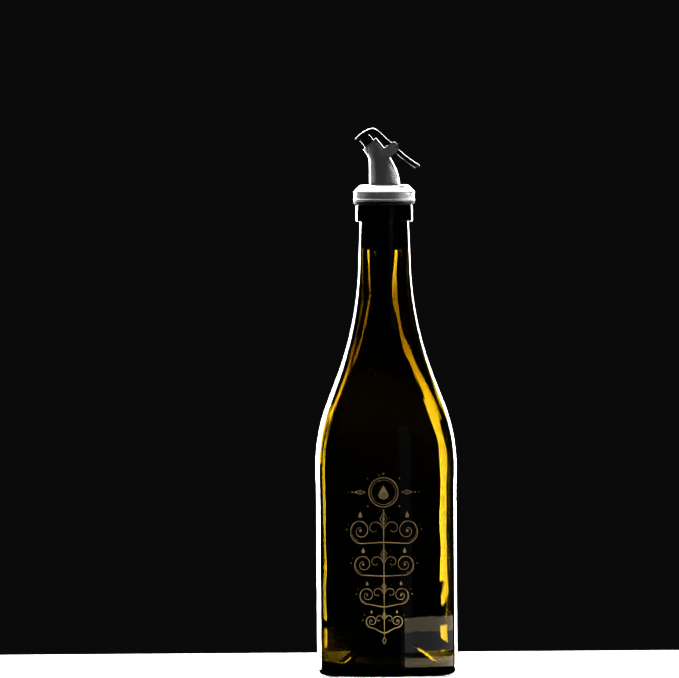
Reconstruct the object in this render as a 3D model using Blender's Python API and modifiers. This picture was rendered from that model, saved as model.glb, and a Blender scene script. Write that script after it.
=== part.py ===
"""A dark glass oil bottle with a ribbed stopper, a steel pouring spout and a hinged flip cap.

The bottle stands on the floor at z = 0 with its axis on the Z axis. The spout leans
towards -X, and the flip cap's lever points towards +X.
"""

import math

import bmesh
import bpy
from mathutils import Matrix, Vector

MM = 0.001
GAP = 0.3 * MM
MERGE = 0.00001

# Bottle, outside
BODY_RADIUS = 36.25 * MM
SHOULDER_RADIUS = 36.55 * MM
BODY_TOP = 95.0 * MM
SHOULDER_TOP = 108.0 * MM
SHOULDER_ARC = 95.0 * MM
CONE_SLOPE = 0.389
NECK_ARC = 179.0 * MM
NECK_SLOPE = 0.034
NECK_RADIUS = 12.62 * MM
FINISH_BOTTOM = 236.1 * MM
FINISH_TOP = 244.8 * MM
FINISH_RADIUS = 14.75 * MM
FINISH_ROUND = 1.4 * MM
FINISH_UNDERCUT = 0.7 * MM
HEEL_ROUND = 4.0 * MM
BEARING_INNER = 28.0 * MM
PUNT_RADIUS = 27.0 * MM
PUNT_HEIGHT = 14.0 * MM
PUNT_EDGE = 26.2 * MM

# Bottle, inside
BODY_WALL = 3.2 * MM
NECK_WALL = 5.6 * MM
THICK_WALL_BOTTOM = 180.0 * MM
BASE_THICKNESS = 4.4 * MM
INNER_FLOOR_RADIUS = 23.8 * MM
INNER_HEEL = 3.8 * MM
BORE_RADIUS = 9.3 * MM
BORE_BOTTOM = 212.0 * MM
LIP_ROUND = 0.8 * MM

# Stopper
GASKET_RADIUS = 15.75 * MM
GASKET_THICKNESS = 1.3 * MM
GASKET_ROUND = 0.3 * MM
STOPPER_CORE = 7.7 * MM
STOPPER_RIBS = 4
RIB_PITCH = 5.0 * MM
RIB_HALF_HEIGHT = 1.3 * MM
RIB_FLAT = 0.3
FIRST_RIB_DEPTH = 3.5 * MM
STOPPER_BOTTOM = 221.0 * MM
STOPPER_NOSE = 2.0 * MM
NOSE_TAPER = 0.6

# Pourer: collar, inlet tube and spout, whose outlines are (x, z) pairs in millimetres
COLLAR_BOTTOM = FINISH_TOP + GASKET_THICKNESS + 2.0 * GAP
COLLAR_RADIUS = 16.0 * MM
COLLAR_SIDE_TOP = 251.4 * MM
COLLAR_TOP = 254.9 * MM
COLLAR_TOP_RADIUS = 12.6 * MM
COLLAR_GROOVE = 0.35 * MM
COLLAR_EDGE = 0.2 * MM
COLLAR_BEAD = 0.9 * MM
TUBE_RADIUS = 5.3 * MM
TUBE_BORE = 4.3 * MM
TUBE_BOTTOM = 218.0 * MM
SPOUT_FRONT = (
    (-7.55, 253.5), (-7.55, 258.5), (-7.55, 263.0), (-7.6, 266.8),
    (-8.1, 269.7), (-9.35, 271.75), (-10.76, 273.62),
)
SPOUT_BACK = (
    (8.3, 253.5), (7.8, 259.0), (6.35, 263.6), (4.35, 267.5),
    (1.75, 272.3), (-1.2, 276.2), (-3.96, 279.47),
)
SPOUT_WALL = 1.0 * MM
SPOUT_CUT_START = 1
CUT_PAST = 1.0 * MM

# Hinge and ears, in the plane y = 0
HINGE = Vector((5.0 * MM, 0.0, 274.5 * MM))
PIN_RADIUS = 0.9 * MM
PIN_HEAD_RADIUS = 1.45 * MM
PIN_HEAD_THICKNESS = 0.5 * MM
EAR_RADIUS = 2.8 * MM
EAR_LENGTH = 7.2 * MM
EAR_INNER_Y = 4.0 * MM
EAR_THICKNESS = 1.1 * MM
EAR_ANGLE = math.radians(40.7)

# Flip cap: a bent strip with a lug at the hinge and a plug in the mouth
STRIP_THICKNESS = 2.4 * MM
ARM_WIDTH = 7.2 * MM
HEAD_WIDTH = 9.8 * MM
LEVER_WIDTH = 9.4 * MM
ARM_HEADING = math.radians(138.0)
ARM_LENGTH = 12.1 * MM
BEND_RADIUS = 2.9 * MM
BEND_TURN = math.radians(62.0)
HEAD_ARC = 16.0 * MM
HEAD_TURN = math.radians(31.0)
LEVER_HEADING = math.radians(-46.0)
LEVER_ARC = 64.5 * MM
LEVER_TURN = math.radians(15.0)
LEVER_CLEAR = 4.8 * MM
LEVER_FLARE = 3.5 * MM
STRIP_CORNER = 0.6 * MM
CORNER_SHARE = 0.45
HEAD_FLARE_START = 7.3 * MM
HEAD_FLARE = 6.0 * MM
HEAD_BLUNT = 0.25 * MM
LEVER_BLUNT = 1.2 * MM
LUG_RADIUS = 2.5 * MM
LUG_WIDTH = 7.4 * MM
PLUG_RADIUS = 2.9 * MM
PLUG_TIP_RADIUS = 1.6 * MM
PLUG_TOP = 5.4 * MM
PLUG_NOSE_TOP = 0.3 * MM
PLUG_DEPTH = 0.6 * MM

BOTTLE_STEPS = 48
STEEL_STEPS = 48
STOPPER_STEPS = 30
SPOUT_SIDES = 32
SPOUT_RINGS = 2
PIN_STEPS = 24
LUG_SIDES = 32
SMOOTH_ANGLE = math.radians(35.0)


def clear_scene():
    for obj in list(bpy.data.objects):
        bpy.data.objects.remove(obj, do_unlink=True)


def new_collection(name):
    collection = bpy.data.collections.new(name)
    bpy.context.scene.collection.children.link(collection)
    return collection


def material(name, color, roughness, metallic=0.0, transmission=0.0):
    mat = bpy.data.materials.new(name)
    mat.use_nodes = True
    shader = mat.node_tree.nodes["Principled BSDF"]
    shader.inputs["Base Color"].default_value = (*color, 1.0)
    shader.inputs["Roughness"].default_value = roughness
    shader.inputs["Metallic"].default_value = metallic
    shader.inputs["Transmission Weight"].default_value = transmission
    return mat


def add_object(name, data, collection, mat=None):
    obj = bpy.data.objects.new(name, data)
    collection.objects.link(obj)
    if mat is not None:
        data.materials.append(mat)
    return obj


def smooth(obj):
    obj.data.shade_smooth()
    obj.data.set_sharp_from_angle(angle=SMOOTH_ANGLE)


def baked(obj, collection, mat=None):
    """Replace an object by a plain mesh of what its modifiers make, in world space."""
    name = obj.name
    source = obj.data
    graph = bpy.context.evaluated_depsgraph_get()
    mesh = bpy.data.meshes.new_from_object(obj.evaluated_get(graph))
    mesh.transform(obj.matrix_world)
    bpy.data.objects.remove(obj, do_unlink=True)
    if source.users == 0 and isinstance(source, bpy.types.Mesh):
        bpy.data.meshes.remove(source)
    work = bmesh.new()
    work.from_mesh(mesh)
    bmesh.ops.remove_doubles(work, verts=work.verts, dist=MERGE)
    bmesh.ops.recalc_face_normals(work, faces=work.faces)
    work.to_mesh(mesh)
    work.free()
    mesh.materials.clear()
    result = add_object(name, mesh, collection, mat)
    smooth(result)
    return result


def turned(name, profile, steps, collection):
    """Turn (radius, height) points, inner side up and outer side down, about the Z axis."""
    mesh = bpy.data.meshes.new(name)
    points = [(radius, 0.0, height) for radius, height in profile]
    edges = [(i, i + 1) for i in range(len(points) - 1)]
    mesh.from_pydata(points, edges, [])
    obj = add_object(name, mesh, collection)
    screw = obj.modifiers.new("turn", "SCREW")
    screw.axis = "Z"
    screw.steps = steps
    screw.render_steps = steps
    screw.use_merge_vertices = True
    screw.merge_threshold = MERGE
    bpy.context.view_layer.update()
    return obj


def loft(name, rings, collection):
    """Join rings of equal point counts with quads and close both ends."""
    work = bmesh.new()
    rows = [[work.verts.new(point) for point in ring] for ring in rings]
    count = len(rows[0])
    for below, above in zip(rows, rows[1:]):
        for i in range(count):
            j = (i + 1) % count
            work.faces.new((below[i], below[j], above[j], above[i]))
    work.faces.new(list(reversed(rows[0])))
    work.faces.new(rows[-1])
    bmesh.ops.recalc_face_normals(work, faces=work.faces)
    mesh = bpy.data.meshes.new(name)
    work.to_mesh(mesh)
    work.free()
    return add_object(name, mesh, collection)


def cylinder(name, radius, start, end, sides, collection):
    """A cylinder between two points."""
    span = end - start
    mesh = bpy.data.meshes.new(name)
    work = bmesh.new()
    bmesh.ops.create_cone(
        work,
        cap_ends=True,
        segments=sides,
        radius1=radius,
        radius2=radius,
        depth=span.length,
    )
    turn = span.to_track_quat("Z", "Y").to_matrix().to_4x4()
    work.transform(Matrix.Translation((start + end) / 2.0) @ turn)
    work.to_mesh(mesh)
    work.free()
    return add_object(name, mesh, collection)


def plate(name, outline, thickness, place, collection):
    """A flat outline of 2D points, thickened evenly to both sides of its plane."""
    curve = bpy.data.curves.new(name, "CURVE")
    curve.dimensions = "2D"
    curve.fill_mode = "BOTH"
    curve.extrude = thickness / 2.0
    spline = curve.splines.new("POLY")
    spline.points.add(len(outline) - 1)
    for point, (x, y) in zip(spline.points, outline):
        point.co = (x, y, 0.0, 1.0)
    spline.use_cyclic_u = True
    obj = add_object(name, curve, collection)
    obj.matrix_world = place
    bpy.context.view_layer.update()
    return baked(obj, collection)


def fused(name, pieces, cutters, collection, mat):
    """Union the pieces, subtract the cutters and keep one closed mesh."""
    group = new_collection(name + "_pieces")
    base = pieces[0]
    for piece in pieces[1:]:
        for owner in list(piece.users_collection):
            owner.objects.unlink(piece)
        group.objects.link(piece)
    join = base.modifiers.new("join", "BOOLEAN")
    join.operation = "UNION"
    join.operand_type = "COLLECTION"
    join.collection = group
    join.solver = "EXACT"
    for cutter in cutters:
        cut = base.modifiers.new("cut", "BOOLEAN")
        cut.operation = "DIFFERENCE"
        cut.object = cutter
        cut.solver = "EXACT"
    bpy.context.view_layer.update()
    base.name = name
    result = baked(base, collection, mat)
    for piece in list(group.objects):
        bpy.data.objects.remove(piece, do_unlink=True)
    bpy.data.collections.remove(group)
    return result


def cutter_look(obj):
    obj.hide_render = True
    obj.display_type = "WIRE"


def arc(center, radius, start, end, count):
    """Points of an arc in a plane, from one angle to another in radians."""
    angles = [start + (end - start) * i / (count - 1) for i in range(count)]
    return [(center[0] + radius * math.cos(a), center[1] + radius * math.sin(a)) for a in angles]


def ease(value):
    clamped = min(max(value, 0.0), 1.0)
    return clamped * clamped * (3.0 - 2.0 * clamped)


def shoulder_joints():
    """Heights where the neck, its concave arc, the cone and the shoulder arc meet."""
    cone = math.atan(CONE_SLOPE)
    neck = math.atan(NECK_SLOPE)
    cone_bottom = SHOULDER_TOP + SHOULDER_ARC * math.sin(cone)
    cone_bottom_radius = SHOULDER_RADIUS - SHOULDER_ARC * (1.0 - math.cos(cone))
    arc_height = NECK_ARC * (math.sin(cone) - math.sin(neck))
    arc_width = NECK_ARC * (math.cos(neck) - math.cos(cone))
    reach = cone_bottom_radius - NECK_RADIUS - arc_width - NECK_SLOPE * FINISH_BOTTOM
    arc_top = (reach + CONE_SLOPE * (arc_height + cone_bottom)) / (CONE_SLOPE - NECK_SLOPE)
    return cone_bottom, cone_bottom_radius, arc_top - arc_height, arc_top


def outer_radius(height):
    """The bottle's outside from the body up to the finish."""
    cone_bottom, cone_bottom_radius, arc_bottom, arc_top = shoulder_joints()
    if height >= arc_top:
        return NECK_RADIUS + NECK_SLOPE * (FINISH_BOTTOM - height)
    if height >= arc_bottom:
        neck = math.atan(NECK_SLOPE)
        middle = arc_top + NECK_ARC * math.sin(neck)
        center = NECK_RADIUS + NECK_SLOPE * (FINISH_BOTTOM - arc_top) + NECK_ARC * math.cos(neck)
        return center - math.sqrt(NECK_ARC ** 2 - (height - middle) ** 2)
    if height >= cone_bottom:
        return cone_bottom_radius - CONE_SLOPE * (height - cone_bottom)
    if height >= SHOULDER_TOP:
        rise = height - SHOULDER_TOP
        return SHOULDER_RADIUS - SHOULDER_ARC + math.sqrt(SHOULDER_ARC ** 2 - rise ** 2)
    if height >= BODY_TOP:
        blend = ease((height - BODY_TOP) / (SHOULDER_TOP - BODY_TOP))
        return BODY_RADIUS + (SHOULDER_RADIUS - BODY_RADIUS) * blend
    return BODY_RADIUS


def inner_radius(height):
    """The bottle's inside: the wall thickens up to the neck, which has a straight bore."""
    thick = ease((height - SHOULDER_TOP) / (THICK_WALL_BOTTOM - SHOULDER_TOP))
    wall = BODY_WALL + (NECK_WALL - BODY_WALL) * thick
    return max(outer_radius(height) - wall, BORE_RADIUS)


def levels(low, high, count):
    return [low + (high - low) * i / (count - 1) for i in range(count)]


def dome_height(radius, top):
    """Height of a spherical punt under its top, at a distance from the axis."""
    sphere = (PUNT_RADIUS ** 2 + PUNT_HEIGHT ** 2) / (2.0 * PUNT_HEIGHT)
    return top - sphere + math.sqrt(sphere ** 2 - radius ** 2)


def bottle_profile():
    cone_bottom, _, arc_bottom, arc_top = shoulder_joints()
    inner_wall = BODY_RADIUS - BODY_WALL
    inner_center = (inner_wall - INNER_HEEL, BASE_THICKNESS + INNER_HEEL)
    inner_heel = arc(inner_center, INNER_HEEL, math.radians(-120.0), 0.0, 5)
    inner_floor = [
        (radius, dome_height(radius, PUNT_HEIGHT + BASE_THICKNESS))
        for radius in levels(0.0, INNER_FLOOR_RADIUS, 6)
    ]
    inner_levels = [BODY_TOP]
    inner_levels += levels(SHOULDER_TOP, cone_bottom, 5)
    inner_levels += levels(arc_bottom, arc_top, 6)
    inside = [(inner_radius(height), height) for height in inner_levels if height < BORE_BOTTOM]
    bore = [(BORE_RADIUS, BORE_BOTTOM)]
    lip = arc((BORE_RADIUS + LIP_ROUND, FINISH_TOP - LIP_ROUND), LIP_ROUND, math.pi, math.pi / 2.0, 3)
    crown_center = (FINISH_RADIUS - FINISH_ROUND, FINISH_TOP - FINISH_ROUND)
    crown = arc(crown_center, FINISH_ROUND, math.pi / 2.0, 0.0, 4)
    ring_foot = arc(
        (FINISH_RADIUS - FINISH_UNDERCUT, FINISH_BOTTOM + FINISH_UNDERCUT),
        FINISH_UNDERCUT, 0.0, -math.pi / 2.0, 3,
    )
    outer_levels = [FINISH_BOTTOM, arc_top]
    outer_levels += list(reversed(levels(arc_bottom, arc_top, 8)))[1:]
    outer_levels += list(reversed(levels(SHOULDER_TOP, cone_bottom, 8)))
    outer_levels += list(reversed(levels(BODY_TOP, SHOULDER_TOP, 4)))[1:]
    outside = [(outer_radius(height), height) for height in outer_levels]
    heel_center = (BODY_RADIUS - HEEL_ROUND, HEEL_ROUND)
    heel = arc(heel_center, HEEL_ROUND, 0.0, -math.pi / 2.0, 6)
    bearing = [(BEARING_INNER, 0.0)]
    punt = [
        (radius, dome_height(radius, PUNT_HEIGHT))
        for radius in levels(PUNT_EDGE, 0.0, 7)
    ]
    return inner_floor + inner_heel + inside + bore + lip + crown + ring_foot + outside + heel + bearing + punt


def make_bottle(collection, mat):
    bottle = turned("bottle", bottle_profile(), BOTTLE_STEPS, collection)
    return baked(bottle, collection, mat)


def stopper_profile():
    hole = TUBE_RADIUS + GAP
    rib_radius = BORE_RADIUS - GAP
    gasket_bottom = FINISH_TOP + GAP
    gasket_top = gasket_bottom + GASKET_THICKNESS
    profile = [
        (hole, STOPPER_BOTTOM),
        (hole, gasket_top),
        (GASKET_RADIUS - GASKET_ROUND, gasket_top),
        (GASKET_RADIUS, gasket_top - GASKET_ROUND),
        (GASKET_RADIUS, gasket_bottom + GASKET_ROUND),
        (GASKET_RADIUS - GASKET_ROUND, gasket_bottom),
        (STOPPER_CORE, gasket_bottom),
    ]
    first_rib = FINISH_TOP - FIRST_RIB_DEPTH
    for i in range(STOPPER_RIBS):
        middle = first_rib - RIB_PITCH * i
        profile += [
            (STOPPER_CORE, middle + RIB_HALF_HEIGHT),
            (rib_radius, middle + RIB_HALF_HEIGHT * RIB_FLAT),
            (rib_radius, middle - RIB_HALF_HEIGHT * RIB_FLAT),
            (STOPPER_CORE, middle - RIB_HALF_HEIGHT),
        ]
    profile += [
        (STOPPER_CORE, STOPPER_BOTTOM + STOPPER_NOSE),
        (STOPPER_CORE - STOPPER_NOSE * NOSE_TAPER, STOPPER_BOTTOM),
        (hole, STOPPER_BOTTOM),
    ]
    return profile


def make_stopper(collection, mat):
    stopper = turned("stopper", stopper_profile(), STOPPER_STEPS, collection)
    return baked(stopper, collection, mat)


def collar_profile():
    bead_top = COLLAR_BOTTOM + COLLAR_BEAD
    groove = COLLAR_RADIUS - COLLAR_GROOVE
    return [
        (0.0, COLLAR_TOP),
        (COLLAR_TOP_RADIUS - COLLAR_EDGE, COLLAR_TOP),
        (COLLAR_TOP_RADIUS + COLLAR_EDGE, COLLAR_TOP - COLLAR_EDGE),
        (COLLAR_RADIUS - COLLAR_EDGE, COLLAR_SIDE_TOP + COLLAR_EDGE),
        (COLLAR_RADIUS, COLLAR_SIDE_TOP - COLLAR_EDGE),
        (groove, COLLAR_SIDE_TOP - COLLAR_EDGE - COLLAR_GROOVE),
        (groove, bead_top + COLLAR_GROOVE),
        (COLLAR_RADIUS, bead_top),
        (COLLAR_RADIUS, COLLAR_BOTTOM + COLLAR_EDGE),
        (COLLAR_RADIUS - COLLAR_EDGE, COLLAR_BOTTOM),
        (TUBE_RADIUS, COLLAR_BOTTOM),
        (TUBE_RADIUS, TUBE_BOTTOM),
        (0.0, TUBE_BOTTOM),
    ]


def spline_points(points, per_span):
    """A smooth curve through the points, with a fixed number of steps for each span."""
    padded = [points[0] * 2.0 - points[1]] + list(points) + [points[-1] * 2.0 - points[-2]]
    smooth_points = []
    for before, start, end, after in zip(padded, padded[1:], padded[2:], padded[3:]):
        for i in range(per_span):
            t = i / per_span
            smooth_points.append(
                0.5 * (
                    2.0 * start
                    + (end - before) * t
                    + (2.0 * before - 5.0 * start + 4.0 * end - after) * t ** 2
                    + (3.0 * start - before - 3.0 * end + after) * t ** 3
                )
            )
    smooth_points.append(points[-1].copy())
    return smooth_points


def side_points(pairs):
    return [Vector((x * MM, 0.0, z * MM)) for x, z in pairs]


def spout_sections():
    """Front and back points of each round section of the spout, from the collar to the mouth."""
    front = spline_points(side_points(SPOUT_FRONT), SPOUT_RINGS)
    back = spline_points(side_points(SPOUT_BACK), SPOUT_RINGS)
    return list(zip(front, back))


def ring_between(front, back, shrink):
    """A circle whose diameter runs from front to back, made smaller by a wall."""
    center = (front + back) / 2.0
    radius = (back - front).length / 2.0 - shrink
    across = (back - front).normalized()
    side = Vector((0.0, 1.0, 0.0))
    ring = []
    for i in range(SPOUT_SIDES):
        angle = 2.0 * math.pi * i / SPOUT_SIDES
        ring.append(center + (across * math.cos(angle) + side * math.sin(angle)) * radius)
    return ring


def spout_axis():
    """Centre of the mouth, the direction that it faces and the direction across it, upwards."""
    front, back = spout_sections()[-1]
    across = (back - front).normalized()
    facing = Vector((-across.z, 0.0, across.x))
    return (front + back) / 2.0, facing, across


def level_ring(radius, height):
    ring = []
    for i in range(SPOUT_SIDES):
        angle = 2.0 * math.pi * i / SPOUT_SIDES
        ring.append(Vector((radius * math.cos(angle), radius * math.sin(angle), height)))
    return ring


def make_spout_bore(collection):
    """The way that the oil takes: up the inlet tube, into the spout and out of its mouth."""
    sections = spout_sections()[SPOUT_CUT_START:]
    _, facing, _ = spout_axis()
    rings = [level_ring(TUBE_BORE, TUBE_BOTTOM - CUT_PAST), level_ring(TUBE_BORE, COLLAR_SIDE_TOP)]
    rings += [ring_between(front, back, SPOUT_WALL) for front, back in sections]
    rings.append([point + facing * CUT_PAST for point in rings[-1]])
    bore = loft("spout_bore", rings, collection)
    cutter_look(bore)
    return bore


def ear_outline():
    """A strip with a round end about the hinge, along the plate's own X axis."""
    round_end = arc((0.0, 0.0), EAR_RADIUS, -math.pi / 2.0, math.pi / 2.0, 13)
    return round_end + [(-EAR_LENGTH, EAR_RADIUS), (-EAR_LENGTH, -EAR_RADIUS)]


def make_ear(name, y, collection):
    across = Vector((math.cos(EAR_ANGLE), 0.0, math.sin(EAR_ANGLE)))
    up = Vector((-across.z, 0.0, across.x))
    normal = across.cross(up)
    place = Matrix((
        (across.x, up.x, normal.x, HINGE.x),
        (across.y, up.y, normal.y, y),
        (across.z, up.z, normal.z, HINGE.z),
        (0.0, 0.0, 0.0, 1.0),
    ))
    return plate(name, ear_outline(), EAR_THICKNESS, place, collection)


def make_pin_hole(collection):
    reach = Vector((0.0, EAR_INNER_Y + 2.0 * EAR_THICKNESS, 0.0))
    hole = cylinder("pin_hole", PIN_RADIUS + GAP, HINGE - reach, HINGE + reach, PIN_STEPS, collection)
    cutter_look(hole)
    return hole


def make_pourer(collection, cutters, hole, mat):
    collar = turned("collar", collar_profile(), STEEL_STEPS, collection)
    spout = loft("spout", [ring_between(f, b, 0.0) for f, b in spout_sections()], collection)
    middle = EAR_INNER_Y + EAR_THICKNESS / 2.0
    ears = [make_ear("ear_front", -middle, collection), make_ear("ear_back", middle, collection)]
    bore = make_spout_bore(cutters)
    return fused("pourer", [baked(collar, collection), spout] + ears, [bore, hole], collection, mat)


def make_hinge_pin(collection, mat):
    """A pin with a flat head at each end, turned about Z and laid along Y."""
    half = EAR_INNER_Y + EAR_THICKNESS + GAP
    end = half + PIN_HEAD_THICKNESS
    profile = [
        (0.0, end),
        (PIN_HEAD_RADIUS, end),
        (PIN_HEAD_RADIUS, half),
        (PIN_RADIUS, half),
        (PIN_RADIUS, -half),
        (PIN_HEAD_RADIUS, -half),
        (PIN_HEAD_RADIUS, -end),
        (0.0, -end),
    ]
    pin = turned("hinge_pin", profile, PIN_STEPS, collection)
    pin.matrix_world = Matrix.Translation(HINGE) @ Matrix.Rotation(math.pi / 2.0, 4, "X")
    bpy.context.view_layer.update()
    return baked(pin, collection, mat)


def walk(start, heading, moves):
    """Follow arcs and straights from a point; gives (position, heading, distance) stations."""
    position = Vector(start)
    travelled = 0.0
    stations = [(position.copy(), heading, travelled)]
    for length, turn, count in moves:
        step = length / count
        for _ in range(count):
            heading += turn / count / 2.0
            position += Vector((math.cos(heading), 0.0, math.sin(heading))) * step
            heading += turn / count / 2.0
            travelled += step
            stations.append((position.copy(), heading, travelled))
    return stations


def strip_ring(position, heading, width):
    """A rounded rectangle across the strip at one station."""
    side = Vector((0.0, 1.0, 0.0))
    up = Vector((-math.sin(heading), 0.0, math.cos(heading)))
    corner = min(STRIP_CORNER, width * CORNER_SHARE)
    half_width = width / 2.0 - corner
    half_height = STRIP_THICKNESS / 2.0 - corner
    ring = []
    for quarter, (sx, sz) in enumerate(((1, 1), (-1, 1), (-1, -1), (1, -1))):
        for dx, dz in arc((0.0, 0.0), corner, quarter * math.pi / 2.0, (quarter + 1) * math.pi / 2.0, 3):
            ring.append(position + side * (sx * half_width + dx) + up * (sz * half_height + dz))
    return ring


def round_end(distance, width):
    """Width of a strip with a round end, at a distance from that end."""
    half = width / 2.0
    near = min(distance / half, 1.0)
    return width * math.sqrt(1.0 - (1.0 - near) ** 2)


def head_rings():
    """The strip from its free end over the mouth to the hinge."""
    moves = [
        (ARM_LENGTH, 0.0, 6),
        (BEND_RADIUS * BEND_TURN, BEND_TURN, 6),
        (HEAD_ARC * HEAD_TURN, HEAD_TURN, 14),
    ]
    stations = walk(HINGE, ARM_HEADING, moves)
    total = stations[-1][2]
    rings = []
    for position, heading, travelled in stations:
        left = total - travelled
        flare = ease((travelled - HEAD_FLARE_START) / HEAD_FLARE)
        width = ARM_WIDTH + (HEAD_WIDTH - ARM_WIDTH) * flare
        width = min(width, round_end(left + HEAD_BLUNT, HEAD_WIDTH))
        rings.append(strip_ring(position, heading, width))
    return rings


def lever_rings():
    """The strip from the hinge to the lever's end."""
    stations = walk(HINGE, LEVER_HEADING, [(LEVER_ARC * LEVER_TURN, LEVER_TURN, 20)])
    total = stations[-1][2]
    rings = []
    for position, heading, travelled in stations:
        flare = ease((travelled - LEVER_CLEAR) / LEVER_FLARE)
        width = ARM_WIDTH + (LEVER_WIDTH - ARM_WIDTH) * flare
        width = min(width, round_end(total - travelled + LEVER_BLUNT, LEVER_WIDTH))
        rings.append(strip_ring(position, heading, width))
    return rings


def plug_rings():
    """A round plug under the strip's head, with a tapered nose that enters the mouth."""
    mouth, facing, across = spout_axis()
    sizes = ((PLUG_RADIUS, PLUG_TOP), (PLUG_RADIUS, PLUG_NOSE_TOP), (PLUG_TIP_RADIUS, -PLUG_DEPTH))
    rings = []
    for radius, reach in sizes:
        middle = mouth + facing * reach
        rings.append(ring_between(middle - across * radius, middle + across * radius, 0.0))
    return rings


def make_flip_cap(collection, hole, mat):
    half = Vector((0.0, LUG_WIDTH / 2.0, 0.0))
    lug = cylinder("lug", LUG_RADIUS, HINGE - half, HINGE + half, LUG_SIDES, collection)
    head = loft("head", head_rings(), collection)
    lever = loft("lever", lever_rings(), collection)
    plug = loft("plug", plug_rings(), collection)
    cap = fused("flip_cap", [lug, head, lever, plug], [hole], collection, mat)
    cap.data.transform(Matrix.Translation(-HINGE))
    cap.location = HINGE
    return cap


def main():
    clear_scene()
    parts = new_collection("oil_dispenser_bottle")
    cutters = new_collection("cutters")
    glass = material("dark_glass", (0.03, 0.028, 0.008), 0.03, transmission=0.9)
    silicone = material("black_silicone", (0.012, 0.012, 0.012), 0.55)
    steel = material("satin_steel", (0.62, 0.62, 0.61), 0.28, metallic=1.0)
    pin_steel = material("pin_steel", (0.55, 0.55, 0.54), 0.22, metallic=1.0)
    plastic = material("black_plastic", (0.01, 0.01, 0.011), 0.2)
    make_bottle(parts, glass)
    make_stopper(parts, silicone)
    hole = make_pin_hole(cutters)
    make_pourer(parts, cutters, hole, steel)
    make_hinge_pin(parts, pin_steel)
    make_flip_cap(parts, hole, plastic)


main()
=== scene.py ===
"""Looks of a dark glass oil bottle with a steel pouring spout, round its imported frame.

The bottle stands on the floor at z = 0 with its axis on the Z axis. The camera looks along +Y.
"""

import math

import bmesh
import bpy
from mathutils import Matrix, Vector, noise


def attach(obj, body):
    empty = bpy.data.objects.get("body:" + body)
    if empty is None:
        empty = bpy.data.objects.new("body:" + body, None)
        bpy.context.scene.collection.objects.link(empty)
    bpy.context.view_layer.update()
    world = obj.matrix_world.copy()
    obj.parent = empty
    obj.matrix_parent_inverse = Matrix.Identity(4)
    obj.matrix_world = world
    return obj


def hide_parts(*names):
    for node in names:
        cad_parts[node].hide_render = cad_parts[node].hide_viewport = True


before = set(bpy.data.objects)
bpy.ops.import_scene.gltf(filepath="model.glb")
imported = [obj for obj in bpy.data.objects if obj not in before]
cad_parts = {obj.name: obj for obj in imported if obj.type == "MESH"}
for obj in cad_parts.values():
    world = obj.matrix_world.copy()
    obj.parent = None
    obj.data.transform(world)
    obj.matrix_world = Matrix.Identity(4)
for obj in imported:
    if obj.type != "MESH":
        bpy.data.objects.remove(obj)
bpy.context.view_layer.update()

MM = 0.001

# Bottle, outside
BODY_RADIUS = 36.25 * MM
SHOULDER_RADIUS = 36.55 * MM
BODY_TOP = 95.0 * MM
SHOULDER_TOP = 108.0 * MM
SHOULDER_ARC = 95.0 * MM
CONE_SLOPE = 0.389
NECK_ARC = 179.0 * MM
NECK_SLOPE = 0.034
NECK_RADIUS = 12.62 * MM
FINISH_BOTTOM = 236.1 * MM
FINISH_TOP = 244.8 * MM
FINISH_RADIUS = 14.75 * MM
FINISH_ROUND = 1.4 * MM
FINISH_UNDERCUT = 0.7 * MM
NECK_FILLET = 0.5 * MM
HEEL_ROUND = 4.0 * MM
OUTER_WALL_BOTTOM = 5.0 * MM
BEARING_INNER = 28.0 * MM
PUNT_RADIUS = 27.0 * MM
PUNT_HEIGHT = 14.0 * MM
PUNT_EDGE = 26.2 * MM

# Bottle, inside
BODY_WALL = 3.2 * MM
NECK_WALL = 5.6 * MM
THICK_WALL_BOTTOM = 180.0 * MM
BASE_THICKNESS = 4.4 * MM
INNER_FLOOR_RADIUS = 23.8 * MM
INNER_HEEL = 3.8 * MM
BORE_RADIUS = 9.3 * MM
LIP_ROUND = 0.8 * MM
INNER_WALL_BOTTOM = 12.0 * MM
LIP_CLEAR = 3.0 * MM
GLASS_STEPS = 192

# Glass: how it bends light, the tint that light takes on inside it, and how fast
GLASS_IOR = 1.52
GLASS_COLOUR = (0.609, 0.557, 0.175, 1.0)
GLASS_DENSITY = 1180.0

# Swells of the inner wall: heights in millimetres, the length of a slow one, and its share round the axis
SLOW_SWELL = 0.2
QUICK_SWELL = 0.07
SWELL_LENGTH = 38.0 * MM
SWELL_ROUND = 1.3
QUICKER = 2.3
QUICK_OFFSET = Vector((7.0, 3.0, 1.0))
SWELL_BOTTOM = 14.0 * MM
SWELL_RISE = 16.0 * MM
SWELL_FALL = 14.0 * MM

# Stopper, squeezed a little way into the wall so that no air shows between them
GASKET_GAP = 0.3 * MM
GASKET_RADIUS = 15.75 * MM
GASKET_THICKNESS = 1.3 * MM
GASKET_ROUND = 0.3 * MM
SQUEEZE = 0.05 * MM
STOPPER_BOTTOM = 221.0 * MM
STOPPER_NOSE = 1.5 * MM
STOPPER_STEPS = 96

# Print on the body: the ink's underside and top over the glass
PRINT_FOOT = 0.02 * MM
PRINT_TOP = 0.06 * MM

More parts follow.
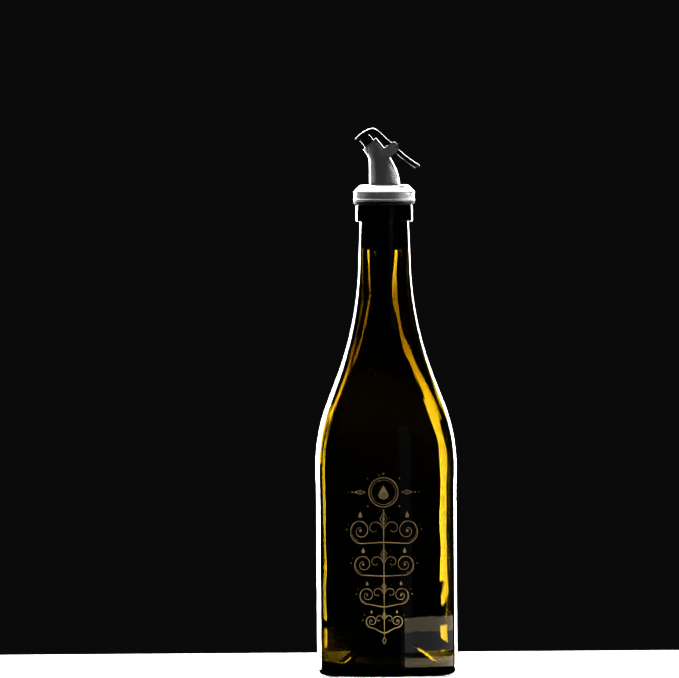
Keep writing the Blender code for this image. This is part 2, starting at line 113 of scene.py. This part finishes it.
# Design of the print in millimetres, across its middle and up from the floor
PRINT_SHIFT = -1.5
RING_LEVEL = 96.0
RING_RADIUS = 7.6
INNER_RING_RADIUS = 6.4
RING_DROP = ((0.0, 95.2), 4.6, 7.4)
CROWN_DOT = ((0.0, 105.6), 1.1, 1.1)
SIDE_LOZENGE = 12.4
SIDE_DOTS = ((16.9, 0.8), (19.0, 0.5))
CORNER_DOT = 8.3
CORNER_LEVELS = (103.2, 88.8)
STEM_TOP = 87.2
STEM_LENGTH = 66.0
LAST_LOZENGE = 19.0
BRANCH_DROP = 6.0
BLUNT = 0.02
TIERS = (  # level, radius of the volutes, reach to each side
    (76.0, 6.6, 19.0),
    (58.5, 5.6, 16.5),
    (42.5, 4.6, 13.5),
    (29.0, 3.4, 10.0),
)

# Camera: it stands so far off that the bottle's sides look parallel
VIEW_WIDTH = 353.3 * MM
VIEW_CENTER = Vector((-23.7 * MM, 0.0, 175.0 * MM))
CAMERA_DISTANCE = 12.0
CAMERA_ELEVATION = math.radians(1.1)
CAMERA_ROLL = math.radians(0.41)
SENSOR_WIDTH = 36.0

# Panels that show through the glass: angles from straight back in degrees, heights, radiance
PANEL_DISTANCE = 1.4
SEEN_PANELS = (
    (9.6, 18.5, -0.12, -0.033, 58.0),
    (9.6, 18.5, -0.011, 0.19, 58.0),
    (9.6, 17.5, 0.19, 0.235, 75.0),
    (10.0, 16.5, 0.235, 0.27, 100.0),
    (11.0, 18.0, 0.27, 0.31, 130.0),
    (12.5, 23.0, 0.31, 0.39, 160.0),
    (15.0, 28.0, 0.39, 0.6, 170.0),
    (-27.0, -17.0, -0.12, -0.055, 56.0),
    (-27.0, -17.0, -0.045, -0.036, 56.0),
    (-27.0, -17.0, -0.013, 0.14, 56.0),
    (-36.0, -21.0, 0.14, 0.24, 90.0),
    (-34.0, -25.0, 0.24, 0.45, 110.0),
    (-46.0, -36.0, 0.45, 0.95, 150.0),
)

# Panels whose reflections make the white rims: name, angles, heights, radiance, distance
RIM_PANELS = (
    ("rim_left", -38.0, -4.0, -0.12, 0.95, 14.0, PANEL_DISTANCE),
    ("rim_right", -4.0, 29.0, -0.12, 0.95, 14.0, PANEL_DISTANCE),
    ("edge_left", -50.0, -38.0, 0.2405, 0.3, 2.0, 0.3),
    ("edge_right", 29.0, 44.0, 0.2405, 0.3, 2.0, 0.3),
)

# Strips of light at the right that reflect as smears low on the glass: heights, radiance, colour
LOW_STRIPS = (
    (0.008, 0.016, 1.3, (1.0, 0.82, 0.58)),
    (-0.003, 0.008, 0.38, (0.9, 0.94, 1.0)),
    (-0.013, -0.006, 1.7, (1.0, 0.84, 0.58)),
)
LOW_STRIP_ANGLES = (42.0, 72.0, 102.0, 132.0, 152.0)
LOW_STRIP_DISTANCE = 0.5

# Two black cards behind the neck, which narrow its golden lines: x and z of their corners
NECK_FLAGS = (
    ((0.031, 0.255), (0.09, 0.255), (0.09, 0.181), (0.042, 0.181)),
    ((-0.057, 0.255), (-0.02, 0.255), (-0.02, 0.181), (-0.053, 0.181)),
)
FLAG_Y = 0.12

# Lights that only show as reflections: name, place, aim, size, radiance
HEAD = (0.0, 0.0, 0.27)
MIRRORED_LIGHTS = (
    ("head_back", (0.0, 0.8, 0.85), HEAD, (0.8, 0.7), 10.0),
    ("spout_right", (0.889, 0.473, 0.924), HEAD, (0.5, 0.2), 3.0),
    ("overhead", (0.0, 0.65, 1.25), (0.0, 0.65, 0.0), (2.0, 1.7), 2.4),
)

# Lights that show in no reflection: name, place, aim, size, radiance, spread in degrees
HIDDEN_LIGHTS = (
    ("steel_left", (-0.72, 0.45, 0.1), HEAD, (0.25, 0.2), 6.0, 32.0),
    ("steel_right", (0.78, 0.34, 0.1), HEAD, (0.25, 0.2), 12.0, 32.0),
    ("floor_light", (0.0, 0.24, 0.3), (0.0, 0.24, 0.0), (0.8, 0.16), 9.0, 180.0),
    ("floor_front", (0.0, -0.085, 0.05), (0.0, -0.085, 0.0), (0.6, 0.09), 3.0, 60.0),
)

# Lights in front: place, aim, size, radiance
FRONT_LIGHT = ((0.75, -1.2, 0.25), (0.0, 0.0, 0.12), (0.5, 1.0), 0.05)
PRINT_LIGHT = ((0.5, -1.6, 0.7), (0.0, 0.0, 0.1), (0.6, 0.6), 3.0)

# Glow of the dark room, and how often a ray is followed through the glass and off the steel
ROOM_COLOUR = (0.0032, 0.0032, 0.0034, 1.0)
GLASS_BOUNCES = 24
STEEL_BOUNCES = 12

# Floor
FLOOR_DROP = 0.15 * MM
FLOOR_BACK = 0.365
FLOOR_FRONT = 0.3
FLOOR_HALF_WIDTH = 0.5
FLOOR_THICKNESS = 0.03
FLOOR_EDGE = 2.0 * MM

# Edges broken on the steel and the plastic
POURER_EDGE = 0.42 * MM
PIN_EDGE = 0.2 * MM
CAP_EDGE = 0.2 * MM
SHARP = math.radians(38.0)


def add_object(name, data, mat=None):
    obj = bpy.data.objects.new(name, data)
    bpy.context.scene.collection.objects.link(obj)
    if mat is not None:
        data.materials.append(mat)
    return obj


def arc(center, radius, start, end, count):
    """Points of an arc in a plane, from one angle to another in degrees."""
    points = []
    for i in range(count):
        angle = math.radians(start + (end - start) * i / (count - 1))
        points.append((center[0] + radius * math.cos(angle), center[1] + radius * math.sin(angle)))
    return points


def levels(low, high, count):
    return [low + (high - low) * i / (count - 1) for i in range(count)]


def ease(value):
    clamped = min(max(value, 0.0), 1.0)
    return clamped * clamped * (3.0 - 2.0 * clamped)


def corner_cut(points, rounds):
    """Round the inner corners of an open line by cutting each of them."""
    for _ in range(rounds):
        cut = [points[0]]
        for (ax, ay), (bx, by) in zip(points, points[1:]):
            cut.append((ax * 0.75 + bx * 0.25, ay * 0.75 + by * 0.25))
            cut.append((ax * 0.25 + bx * 0.75, ay * 0.25 + by * 0.75))
        cut.append(points[-1])
        points = cut
    return points


# Materials

def new_material(name):
    mat = bpy.data.materials.new(name)
    mat.use_nodes = True
    tree = mat.node_tree
    return mat, tree, tree.nodes["Principled BSDF"]


def noise_value(tree, scale, detail, stretch=(1.0, 1.0, 1.0)):
    """Noise in the object's own metres, drawn out along an axis where its stretch is small."""
    place = tree.nodes.new("ShaderNodeTexCoord")
    mapping = tree.nodes.new("ShaderNodeMapping")
    mapping.inputs["Scale"].default_value = stretch
    texture = tree.nodes.new("ShaderNodeTexNoise")
    texture.inputs["Scale"].default_value = scale
    texture.inputs["Detail"].default_value = detail
    tree.links.new(place.outputs["Object"], mapping.inputs["Vector"])
    tree.links.new(mapping.outputs["Vector"], texture.inputs["Vector"])
    return texture.outputs["Fac"]


def coloured(tree, shader, source, dark, light):
    """Vary the shader's colour between two."""
    mix = tree.nodes.new("ShaderNodeMix")
    mix.data_type = "RGBA"
    mix.inputs["A"].default_value = (*dark, 1.0)
    mix.inputs["B"].default_value = (*light, 1.0)
    tree.links.new(source, mix.inputs["Factor"])
    tree.links.new(mix.outputs["Result"], shader.inputs["Base Color"])


def roughened(tree, shader, source, low, high):
    """Vary the shader's roughness over a range, from a value that lies round 0.5."""
    spread = tree.nodes.new("ShaderNodeMapRange")
    spread.inputs["From Min"].default_value = 0.25
    spread.inputs["From Max"].default_value = 0.75
    spread.inputs["To Min"].default_value = low
    spread.inputs["To Max"].default_value = high
    tree.links.new(source, spread.inputs["Value"])
    tree.links.new(spread.outputs["Result"], shader.inputs["Roughness"])


def bumped(tree, shader, source, depth):
    bump = tree.nodes.new("ShaderNodeBump")
    bump.inputs["Distance"].default_value = depth
    tree.links.new(source, bump.inputs["Height"])
    tree.links.new(bump.outputs["Normal"], shader.inputs["Normal"])


def glass_material():
    """Dark olive-brown bottle glass, whose colour comes from the thickness of its walls."""
    mat, tree, shader = new_material("dark_glass")
    shader.inputs["Base Color"].default_value = (1.0, 1.0, 1.0, 1.0)
    shader.inputs["Transmission Weight"].default_value = 1.0
    shader.inputs["IOR"].default_value = GLASS_IOR
    haze = noise_value(tree, 60.0, 5.0)
    roughened(tree, shader, haze, 0.0, 0.03)
    ripple = noise_value(tree, 45.0, 2.0, (1.0, 1.0, 0.4))
    bumped(tree, shader, ripple, 0.05 * MM)
    absorption = tree.nodes.new("ShaderNodeVolumeAbsorption")
    absorption.inputs["Color"].default_value = GLASS_COLOUR
    absorption.inputs["Density"].default_value = GLASS_DENSITY
    tree.links.new(absorption.outputs["Volume"], tree.nodes["Material Output"].inputs["Volume"])
    return mat


def steel_material():
    """Satin steel, brushed round the axis."""
    mat, tree, shader = new_material("satin_steel")
    shader.inputs["Metallic"].default_value = 0.7
    brush = noise_value(tree, 900.0, 2.0, (0.06, 0.06, 4.0))
    stain = noise_value(tree, 160.0, 4.0)
    coloured(tree, shader, stain, (0.55, 0.55, 0.54), (0.7, 0.7, 0.69))
    roughened(tree, shader, brush, 0.13, 0.2)
    bumped(tree, shader, brush, 0.001 * MM)
    return mat


def pin_material():
    mat, tree, shader = new_material("pin_steel")
    shader.inputs["Metallic"].default_value = 0.6
    stain = noise_value(tree, 700.0, 3.0)
    coloured(tree, shader, stain, (0.5, 0.5, 0.49), (0.62, 0.62, 0.61))
    roughened(tree, shader, stain, 0.12, 0.24)
    return mat


def plastic_material():
    """Black gloss plastic with faint moulding ripples."""
    mat, tree, shader = new_material("black_plastic")
    grain = noise_value(tree, 500.0, 4.0)
    ripple = noise_value(tree, 120.0, 1.0)
    coloured(tree, shader, grain, (0.002, 0.002, 0.002), (0.005, 0.005, 0.0055))
    roughened(tree, shader, grain, 0.03, 0.09)
    bumped(tree, shader, ripple, 0.03 * MM)
    return mat


def silicone_material():
    mat, tree, shader = new_material("black_silicone")
    grain = noise_value(tree, 1500.0, 3.0)
    coloured(tree, shader, grain, (0.004, 0.004, 0.004), (0.010, 0.010, 0.010))
    roughened(tree, shader, grain, 0.45, 0.65)
    bumped(tree, shader, grain, 0.01 * MM)
    return mat


def print_material():
    """Dull gold ink, thinner in places."""
    mat, tree, shader = new_material("gold_print")
    patchy = noise_value(tree, 90.0, 6.0)
    grain = noise_value(tree, 1400.0, 3.0)
    coloured(tree, shader, patchy, (0.1, 0.068, 0.024), (0.44, 0.32, 0.13))
    roughened(tree, shader, grain, 0.4, 0.6)
    shader.inputs["Metallic"].default_value = 0.2
    bumped(tree, shader, grain, 0.01 * MM)
    return mat


def floor_material():
    """A smooth pale table top."""
    mat, tree, shader = new_material("pale_floor")
    mottle = noise_value(tree, 12.0, 4.0)
    coloured(tree, shader, mottle, (0.86, 0.86, 0.86), (0.9, 0.9, 0.9))
    roughened(tree, shader, mottle, 0.5, 0.6)
    shader.inputs["Specular IOR Level"].default_value = 0.2
    return mat


def flag_material():
    """Black cloth."""
    mat, tree, shader = new_material("flag_cloth")
    weave = noise_value(tree, 900.0, 3.0)
    coloured(tree, shader, weave, (0.002, 0.002, 0.002), (0.005, 0.005, 0.005))
    roughened(tree, shader, weave, 0.8, 0.95)
    shader.inputs["Specular IOR Level"].default_value = 0.05
    return mat


# Bottle

def shoulder_joints():
    """Heights where the neck, its concave arc, the cone and the shoulder arc meet."""
    cone = math.atan(CONE_SLOPE)
    neck = math.atan(NECK_SLOPE)
    cone_bottom = SHOULDER_TOP + SHOULDER_ARC * math.sin(cone)
    cone_bottom_radius = SHOULDER_RADIUS - SHOULDER_ARC * (1.0 - math.cos(cone))
    arc_height = NECK_ARC * (math.sin(cone) - math.sin(neck))
    arc_width = NECK_ARC * (math.cos(neck) - math.cos(cone))
    reach = cone_bottom_radius - NECK_RADIUS - arc_width - NECK_SLOPE * FINISH_BOTTOM
    arc_top = (reach + CONE_SLOPE * (arc_height + cone_bottom)) / (CONE_SLOPE - NECK_SLOPE)
    return cone_bottom, cone_bottom_radius, arc_top - arc_height, arc_top


def outer_radius(height):
    """The bottle's outside from the body up to the finish."""
    cone_bottom, cone_bottom_radius, arc_bottom, arc_top = shoulder_joints()
    if height >= arc_top:
        return NECK_RADIUS + NECK_SLOPE * (FINISH_BOTTOM - height)
    if height >= arc_bottom:
        neck = math.atan(NECK_SLOPE)
        middle = arc_top + NECK_ARC * math.sin(neck)
        center = NECK_RADIUS + NECK_SLOPE * (FINISH_BOTTOM - arc_top) + NECK_ARC * math.cos(neck)
        return center - math.sqrt(NECK_ARC ** 2 - (height - middle) ** 2)
    if height >= cone_bottom:
        return cone_bottom_radius - CONE_SLOPE * (height - cone_bottom)
    if height >= SHOULDER_TOP:
        rise = height - SHOULDER_TOP
        return SHOULDER_RADIUS - SHOULDER_ARC + math.sqrt(SHOULDER_ARC ** 2 - rise ** 2)
    if height >= BODY_TOP:
        swell = ease((height - BODY_TOP) / (SHOULDER_TOP - BODY_TOP))
        return BODY_RADIUS + (SHOULDER_RADIUS - BODY_RADIUS) * swell
    return BODY_RADIUS


def inner_radius(height):
    """The bottle's inside: the wall thickens up to the neck, which has a straight bore."""
    thick = ease((height - SHOULDER_TOP) / (THICK_WALL_BOTTOM - SHOULDER_TOP))
    wall = BODY_WALL + (NECK_WALL - BODY_WALL) * thick
    return max(outer_radius(height) - wall, BORE_RADIUS)


def dome_height(radius, top):
    """Height of the spherical punt under its top, at a distance from the axis."""
    sphere = (PUNT_RADIUS ** 2 + PUNT_HEIGHT ** 2) / (2.0 * PUNT_HEIGHT)
    return top - sphere + math.sqrt(sphere ** 2 - radius ** 2)


def inner_profile():
    """From the middle of the inner floor up to the lip."""
    floor = [
        (radius, dome_height(radius, PUNT_HEIGHT + BASE_THICKNESS))
        for radius in levels(0.0, INNER_FLOOR_RADIUS, 22)
    ]
    wall_foot = BODY_RADIUS - BODY_WALL
    heel_center = (wall_foot - INNER_HEEL, BASE_THICKNESS + INNER_HEEL)
    heel = arc(heel_center, INNER_HEEL, -120.0, 0.0, 16)
    wall_top = FINISH_TOP - LIP_CLEAR
    wall = [(inner_radius(height), height) for height in levels(INNER_WALL_BOTTOM, wall_top, 110)]
    lip = arc((BORE_RADIUS + LIP_ROUND, FINISH_TOP - LIP_ROUND), LIP_ROUND, 180.0, 90.0, 6)
    return floor + heel + wall + lip


def outer_profile():
    """From the lip down the outside and under the base to its middle."""
    crown = arc((FINISH_RADIUS - FINISH_ROUND, FINISH_TOP - FINISH_ROUND), FINISH_ROUND, 90.0, 0.0, 9)
    foot_center = (FINISH_RADIUS - FINISH_UNDERCUT, FINISH_BOTTOM + FINISH_UNDERCUT)
    ring_foot = arc(foot_center, FINISH_UNDERCUT, 0.0, -90.0, 7)
    fillet_center = (NECK_RADIUS + NECK_FILLET, FINISH_BOTTOM - NECK_FILLET)
    fillet = arc(fillet_center, NECK_FILLET, 90.0, 180.0, 6)
    wall_top = FINISH_BOTTOM - 2.0 * NECK_FILLET
    wall = [(outer_radius(height), height) for height in levels(wall_top, OUTER_WALL_BOTTOM, 130)]
    heel = arc((BODY_RADIUS - HEEL_ROUND, HEEL_ROUND), HEEL_ROUND, 0.0, -90.0, 14)
    punt = [(radius, dome_height(radius, PUNT_HEIGHT)) for radius in levels(PUNT_EDGE, 0.0, 24)]
    bearing = corner_cut([heel[-1], (BEARING_INNER, 0.0), punt[0], punt[1]], 3)
    return crown + ring_foot + fillet + wall + heel + bearing[1:] + punt[2:]


def glass_ripple(angle, height):
    """How far the inner wall swells in or out, as in a blown bottle."""
    place = Vector((math.cos(angle) * SWELL_ROUND, math.sin(angle) * SWELL_ROUND, height / SWELL_LENGTH))
    slow = noise.noise(place)
    quick = noise.noise(place * QUICKER + QUICK_OFFSET)
    fade = ease((height - SWELL_BOTTOM) / SWELL_RISE) * ease((STOPPER_BOTTOM - height) / SWELL_FALL)
    return (slow * SLOW_SWELL + quick * QUICK_SWELL) * MM * fade


def revolve(name, profile, steps, mat, ripple=None, ripple_count=0):
    """Turn a profile that starts and ends on the axis into one closed surface.

    The first ripple_count points of the profile are moved in or out by the ripple.
    """
    work = bmesh.new()
    first = work.verts.new((0.0, 0.0, profile[0][1]))
    last = work.verts.new((0.0, 0.0, profile[-1][1]))
    rings = []
    for index, (radius, height) in enumerate(profile[1:-1]):
        ring = []
        for i in range(steps):
            angle = 2.0 * math.pi * i / steps
            far = radius + (ripple(angle, height) if ripple and index < ripple_count else 0.0)
            ring.append(work.verts.new((far * math.cos(angle), far * math.sin(angle), height)))
        rings.append(ring)
    for i in range(steps):
        j = (i + 1) % steps
        work.faces.new((first, rings[0][i], rings[0][j]))
        work.faces.new((last, rings[-1][j], rings[-1][i]))
        for near, far in zip(rings, rings[1:]):
            work.faces.new((near[j], near[i], far[i], far[j]))
    bmesh.ops.recalc_face_normals(work, faces=work.faces)
    mesh = bpy.data.meshes.new(name)
    work.to_mesh(mesh)
    work.free()
    mesh.shade_smooth()
    return add_object(name, mesh, mat)


def stopper_profile():
    """A soft plug that the neck squeezes flat, with a thin flange on the finish."""
    gasket_bottom = FINISH_TOP + GASKET_GAP
    gasket_top = gasket_bottom + GASKET_THICKNESS
    rim = GASKET_RADIUS - GASKET_ROUND
    flange_top = arc((rim, gasket_top - GASKET_ROUND), GASKET_ROUND, 90.0, 0.0, 5)
    flange_foot = arc((rim, gasket_bottom + GASKET_ROUND), GASKET_ROUND, 0.0, -90.0, 5)
    squeezed = BORE_RADIUS + SQUEEZE
    nose = arc((squeezed - STOPPER_NOSE, STOPPER_BOTTOM + STOPPER_NOSE), STOPPER_NOSE, 0.0, -80.0, 8)
    body = [(squeezed, FINISH_TOP - LIP_ROUND), (squeezed, STOPPER_BOTTOM + STOPPER_NOSE)]
    crown = [(0.0, gasket_top)]
    return crown + flange_top + flange_foot + body + nose[1:] + [(0.0, STOPPER_BOTTOM)]


def make_stopper():
    stopper = revolve("stopper_plug", stopper_profile(), STOPPER_STEPS, silicone_material())
    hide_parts("stopper")
    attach(stopper, "bottle")


def make_glass():
    inside = inner_profile()
    whole = inside + outer_profile()
    glass = revolve("bottle_glass", whole, GLASS_STEPS, glass_material(), glass_ripple, len(inside))
    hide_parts("bottle")
    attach(glass, "bottle")


def wrapped(across, height, lift):
    """A place on the print: millimetres across its middle and up from the floor, in metres out."""
    far = outer_radius(height * MM) + lift
    angle = (across + PRINT_SHIFT) * MM / BODY_RADIUS
    return (math.sin(angle) * far, -math.cos(angle) * far, height * MM)


def add_patch(work, left, right):
    """A thin closed strip of ink between two lines of points with as many points each."""
    rows = []
    for line, lift in ((left, PRINT_TOP), (right, PRINT_TOP), (right, PRINT_FOOT), (left, PRINT_FOOT)):
        rows.append([work.verts.new(wrapped(across, height, lift)) for across, height in line])
    count = len(left)
    for near, far in zip(rows, rows[1:] + rows[:1]):
        for i in range(count - 1):
            work.faces.new((near[i], near[i + 1], far[i + 1], far[i]))
    work.faces.new([row[0] for row in rows])
    work.faces.new([row[-1] for row in reversed(rows)])


def add_stroke(work, points, widths):
    """A line of ink whose width changes evenly along it."""
    left = []
    right = []
    for index, (across, height) in enumerate(points):
        before = points[max(index - 1, 0)]
        after = points[min(index + 1, len(points) - 1)]
        along = Vector((after[0] - before[0], after[1] - before[1])).normalized()
        half = (widths[0] + (widths[1] - widths[0]) * index / (len(points) - 1)) / 2.0
        left.append((across - along.y * half, height + along.x * half))
        right.append((across + along.y * half, height - along.x * half))
    add_patch(work, left, right)


def spiral(center, radius, start, turns, shrink, count=44):
    """A volute that winds inwards; a negative number of turns winds clockwise."""
    points = []
    for i in range(count):
        part = i / (count - 1)
        angle = math.radians(start) + 2.0 * math.pi * turns * part
        far = radius * (1.0 - (1.0 - shrink) * part)
        points.append((center[0] + far * math.cos(angle), center[1] + far * math.sin(angle)))
    return points


def add_lozenge(work, center, width, height, line):
    """A lozenge drawn with a line of even width across."""
    slant = math.hypot(width, height)
    inner_width = width - 2.0 * line * slant / height
    inner_height = height - 2.0 * line * slant / width
    for side in (-0.5, 0.5):
        outer = [(0.0, 0.5 * height), (side * width, 0.0), (0.0, -0.5 * height)]
        inner = [(0.0, 0.5 * inner_height), (side * inner_width, 0.0), (0.0, -0.5 * inner_height)]
        moved = [[(center[0] + across, center[1] + up) for across, up in points] for points in (outer, inner)]
        add_patch(work, moved[0], moved[1])


def add_dot(work, center, width, height):
    """A filled round or oval dot."""
    left = []
    right = []
    for i in range(13):
        angle = math.pi * (i / 12.0 - 0.5)
        reach = width / 2.0 * math.cos(angle) + BLUNT
        level = center[1] + height / 2.0 * math.sin(angle)
        left.append((center[0] - reach, level))
        right.append((center[0] + reach, level))
    add_patch(work, left, right)


def add_drop(work, center, width, height):
    """A filled drop with its point up."""
    left = []
    right = []
    for i in range(19):
        part = i / 18.0
        reach = width / 2.0 * math.sin(math.pi * part ** 0.62) * (1.0 - 0.35 * part) * 1.25 + BLUNT
        level = center[1] + height * (part - 0.4)
        left.append((center[0] - reach, level))
        right.append((center[0] + reach, level))
    add_patch(work, left, right)


def add_pair(work, points, widths):
    """A stroke and its mirror image."""
    add_stroke(work, points, widths)
    add_stroke(work, [(-across, height) for across, height in points], widths)


def draw_ring(work):
    """A drop in a double ring, with a lozenge and dots at each side."""
    center = (0.0, RING_LEVEL)
    add_stroke(work, spiral(center, RING_RADIUS, 90.0, 1.0, 1.0, 72), (0.55, 0.55))
    add_stroke(work, spiral(center, INNER_RING_RADIUS, 90.0, 1.0, 1.0, 64), (0.22, 0.22))
    add_drop(work, *RING_DROP)
    add_dot(work, *CROWN_DOT)
    for side in (-1.0, 1.0):
        add_lozenge(work, (SIDE_LOZENGE * side, RING_LEVEL), 6.4, 2.6, 0.32)
        add_dot(work, (SIDE_LOZENGE * side, RING_LEVEL), 1.0, 0.6)
        for across, size in SIDE_DOTS:
            add_dot(work, (across * side, RING_LEVEL), size, size)
        for level in CORNER_LEVELS:
            add_dot(work, (CORNER_DOT * side, level), 0.8, 0.8)


def draw_tier(work, level, radius, reach):
    """A branch to each side of the stem that ends in a volute, with a lozenge on the stem between them."""
    center = (reach - radius, level)
    branch = []
    for i in range(21):
        part = i / 20.0
        height = level - BRANCH_DROP + BRANCH_DROP * ease(part) - radius * ease(part)
        branch.append((center[0] * part, height))
    add_pair(work, branch, (0.6, 0.42))
    add_pair(work, spiral(center, radius, -90.0, 1.55, 0.2, 56), (0.42, 0.25))
    add_pair(work, spiral(center, radius * 0.8, -80.0, 0.55, 0.95, 26), (0.15, 0.15))
    curl = radius * 0.62
    add_pair(work, spiral((curl + 0.6, level + 1.2), curl, 180.0, -0.9, 0.3, 34), (0.38, 0.22))
    knot = (0.0, level + radius * 0.95)
    add_lozenge(work, knot, curl, radius * 1.15, 0.26)
    add_dot(work, knot, radius * 0.16 + 0.2, radius * 0.3)
    for side in (-1.0, 1.0):
        add_dot(work, (center[0] * side, level), radius * 0.2, radius * 0.2)
        add_drop(work, (center[0] * side, level + radius + 1.4), radius * 0.26, radius * 0.5)
        add_dot(work, ((reach + 1.4) * side, level + 0.6), 0.7, 0.7)
        add_dot(work, ((reach + 0.5) * side, level + 3.2), 0.45, 0.45)


def make_print():
    """Gold ornament: a drop in a ring over a stem with four tiers of volutes."""
    work = bmesh.new()
    draw_ring(work)
    add_stroke(work, [(0.0, STEM_TOP - STEM_LENGTH * i / 40.0) for i in range(41)], (0.6, 0.3))
    for level, radius, reach in TIERS:
        draw_tier(work, level, radius, reach)
    add_lozenge(work, (0.0, LAST_LOZENGE), 2.2, 4.2, 0.28)
    bmesh.ops.recalc_face_normals(work, faces=work.faces)
    mesh = bpy.data.meshes.new("gold_ornament")
    work.to_mesh(mesh)
    work.free()
    ornament = add_object("gold_ornament", mesh, print_material())
    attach(ornament, "bottle")


def dress(node, mat, edge):
    """Give a node of the frame its finish and break its sharp edges."""
    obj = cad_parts[node]
    for slot in obj.material_slots:
        slot.material = mat
    bevel = obj.modifiers.new("edge", "BEVEL")
    bevel.width = edge
    bevel.segments = 3
    bevel.limit_method = "ANGLE"
    bevel.angle_limit = SHARP
    bevel.harden_normals = True


# Stage

def make_floor():
    mesh = bpy.data.meshes.new("floor")
    work = bmesh.new()
    bmesh.ops.create_cube(work, size=1.0)
    depth = FLOOR_BACK + FLOOR_FRONT
    work.transform(Matrix.Diagonal((2.0 * FLOOR_HALF_WIDTH, depth, FLOOR_THICKNESS, 1.0)))
    work.transform(Matrix.Translation((0.0, FLOOR_BACK - depth / 2.0, -FLOOR_THICKNESS / 2.0 - FLOOR_DROP)))
    work.to_mesh(mesh)
    work.free()
    floor = add_object("floor", mesh, floor_material())
    bevel = floor.modifiers.new("edge", "BEVEL")
    bevel.width = FLOOR_EDGE
    bevel.segments = 3
    floor.visible_glossy = False


def make_flags():
    mat = flag_material()
    for index, corners in enumerate(NECK_FLAGS):
        mesh = bpy.data.meshes.new(f"neck_flag_{index}")
        mesh.from_pydata([(x, FLAG_Y, z) for x, z in corners], [], [(0, 1, 2, 3)])
        flag = add_object(f"neck_flag_{index}", mesh, mat)
        flag.visible_camera = False
        flag.visible_diffuse = False
        flag.visible_glossy = False
        flag.visible_shadow = False


def make_camera():
    camera = add_object("camera", bpy.data.cameras.new("camera"))
    back = Vector((0.0, -math.cos(CAMERA_ELEVATION), math.sin(CAMERA_ELEVATION)))
    camera.location = VIEW_CENTER + back * CAMERA_DISTANCE
    look = (-back).to_track_quat("-Z", "Y").to_matrix()
    roll = Matrix.Rotation(-CAMERA_ROLL, 3, "Z")
    camera.rotation_euler = (look @ roll).to_euler()
    camera.data.sensor_width = SENSOR_WIDTH
    camera.data.lens = SENSOR_WIDTH * CAMERA_DISTANCE / VIEW_WIDTH
    camera.data.clip_end = 2.0 * CAMERA_DISTANCE
    bpy.context.scene.camera = camera


def area_light(name, place, aim, size, radiance, diffuse=True, glossy=True, through=False):
    """A rectangle of even light; radiance is what a mirror would show."""
    data = bpy.data.lights.new(name, "AREA")
    data.shape = "RECTANGLE"
    data.size, data.size_y = size
    data.energy = radiance * size[0] * size[1] * math.pi
    obj = add_object(name, data)
    obj.location = place
    obj.rotation_euler = (Vector(aim) - Vector(place)).to_track_quat("-Z", "Y").to_euler()
    obj.visible_camera = False
    obj.visible_diffuse = diffuse
    obj.visible_glossy = glossy
    obj.visible_transmission = through
    return obj


def panel_behind(name, start, end, low, high, radiance, distance=PANEL_DISTANCE, through=False):
    """An upright soft panel round the bottle, between two angles from straight back."""
    middle = math.radians((start + end) / 2.0)
    width = 2.0 * distance * math.tan(math.radians(abs(end - start) / 2.0))
    height = (low + high) / 2.0
    place = (math.sin(middle) * distance, math.cos(middle) * distance, height)
    aim = (0.0, 0.0, height)
    return area_light(name, place, aim, (width, high - low), radiance, False, not through, through)


def make_panels():
    """Upright panels round the bottle that only its glass and its edges show."""
    for index, (start, end, low, high, radiance) in enumerate(SEEN_PANELS):
        panel_behind(f"seen_{index}", start, end, low, high, radiance, through=True)
    for name, start, end, low, high, radiance, distance in RIM_PANELS:
        panel_behind(name, start, end, low, high, radiance, distance)


def make_low_strips():
    for index, (low, high, radiance, colour) in enumerate(LOW_STRIPS):
        for start, end in zip(LOW_STRIP_ANGLES, LOW_STRIP_ANGLES[1:]):
            name = f"low_strip_{index}_{start:.0f}"
            strip = panel_behind(name, start, end, low, high, radiance, LOW_STRIP_DISTANCE)
            strip.data.color = colour


def make_lights():
    make_panels()
    for name, place, aim, size, radiance in MIRRORED_LIGHTS:
        area_light(name, place, aim, size, radiance, diffuse=False)
    for name, place, aim, size, radiance, spread in HIDDEN_LIGHTS:
        lamp = area_light(name, place, aim, size, radiance, glossy=False)
        lamp.data.spread = math.radians(spread)
    make_low_strips()
    area_light("front_right", *FRONT_LIGHT)
    area_light("print_light", *PRINT_LIGHT, glossy=False)


def make_world():
    world = bpy.data.worlds.new("studio")
    bpy.context.scene.world = world
    world.use_nodes = True
    back = world.node_tree.nodes["Background"]
    back.inputs["Color"].default_value = ROOM_COLOUR
    back.inputs["Strength"].default_value = 1.0


def set_look():
    scene = bpy.context.scene
    scene.view_settings.view_transform = "Standard"
    scene.cycles.max_bounces = GLASS_BOUNCES
    scene.cycles.transmission_bounces = GLASS_BOUNCES
    scene.cycles.glossy_bounces = STEEL_BOUNCES


make_camera()
make_glass()
make_stopper()
make_print()
dress("pourer", steel_material(), POURER_EDGE)
dress("hinge_pin", pin_material(), PIN_EDGE)
dress("flip_cap", plastic_material(), CAP_EDGE)
make_floor()
make_flags()
make_lights()
make_world()
set_look()
